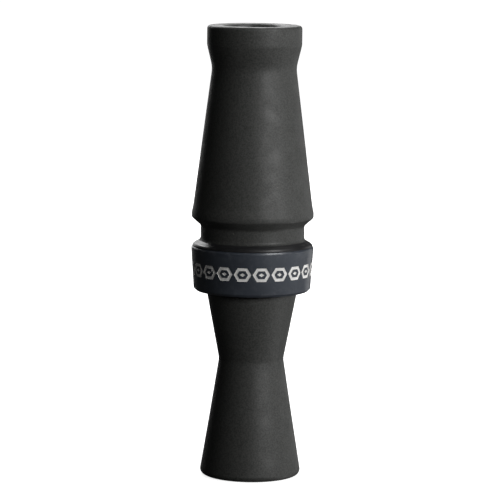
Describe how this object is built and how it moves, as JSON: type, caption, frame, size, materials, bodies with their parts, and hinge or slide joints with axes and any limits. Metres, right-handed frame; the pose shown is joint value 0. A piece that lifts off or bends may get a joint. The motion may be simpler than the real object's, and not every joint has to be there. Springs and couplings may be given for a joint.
{
  "type": "duck call",
  "caption": "Double-reed duck call: turned barrel with a metal band, friction-fit stopper with a flared bell, and a removable tone board with reeds and wedge.",
  "frame": {"origin": "centre of the bell's rim, on the surface that the call stands on", "axes": "+Z along the call's axis, from the bell to the mouth; the reeds face -Y"},
  "size_m": [0.0356, 0.0356, 0.131],
  "materials": {
    "soft_touch_black": "charcoal soft-touch coating over a turned body, fine matt grain",
    "anodised_band": "glossy black anodising with a slight blue cast, and a bright engraved pattern",
    "tone_board_black": "moulded, satin to gloss",
    "seal_rubber": "smooth black rubber, lightly greased",
    "reed_film": "milky polyester film with a brushed grain",
    "cork": "cut natural cork"
  },
  "bodies": {
    "stopper": {"stopper": "soft_touch_black"},
    "seals": {"stopper_o_ring_lower": "seal_rubber", "stopper_o_ring_upper": "seal_rubber"},
    "barrel": {"barrel": "soft_touch_black", "band": "anodised_band"},
    "tone_board": {"tone_board": "tone_board_black", "tone_board_o_ring": "seal_rubber"},
    "wedge": {"wedge": "cork"},
    "lower_reed": {"lower_reed": "reed_film"},
    "upper_reed": {"upper_reed": "reed_film"}
  },
  "joints": [
    {"name": "barrel_twist", "type": "hinge", "parent": "stopper", "child": "seals", "pos_m": [0, 0, 0.0614], "axis": [0, 0, 1], "continuous": true},
    {"name": "barrel_pull", "type": "slide", "parent": "seals", "child": "barrel", "axis": [0, 0, 1], "range_m": [0, 0.06]},
    {"name": "tone_board_pull", "type": "slide", "parent": "stopper", "child": "tone_board", "axis": [0, 0, 1], "range_m": [0, 0.02]},
    {"name": "wedge_pull", "type": "slide", "parent": "tone_board", "child": "wedge", "axis": [0, 0, 1], "range_m": [0, 0.009]},
    {"name": "lower_reed_flex", "type": "hinge", "parent": "wedge", "child": "lower_reed", "pos_m": [0, -0.00073, 0.0804], "axis": [1, 0, 0], "range_deg": [-1.8, 1.8], "stiffness_Nm_per_rad": 0.01, "deforming": ["lower_reed"]},
    {"name": "upper_reed_flex", "type": "hinge", "parent": "wedge", "child": "upper_reed", "pos_m": [0, -0.00123, 0.0804], "axis": [1, 0, 0], "range_deg": [-1.8, 1.8], "stiffness_Nm_per_rad": 0.008, "deforming": ["upper_reed"]}
  ],
  "couplings": [
    {"joint": "upper_reed_flex", "follows": "lower_reed_flex", "ratio": 1}
  ]
}
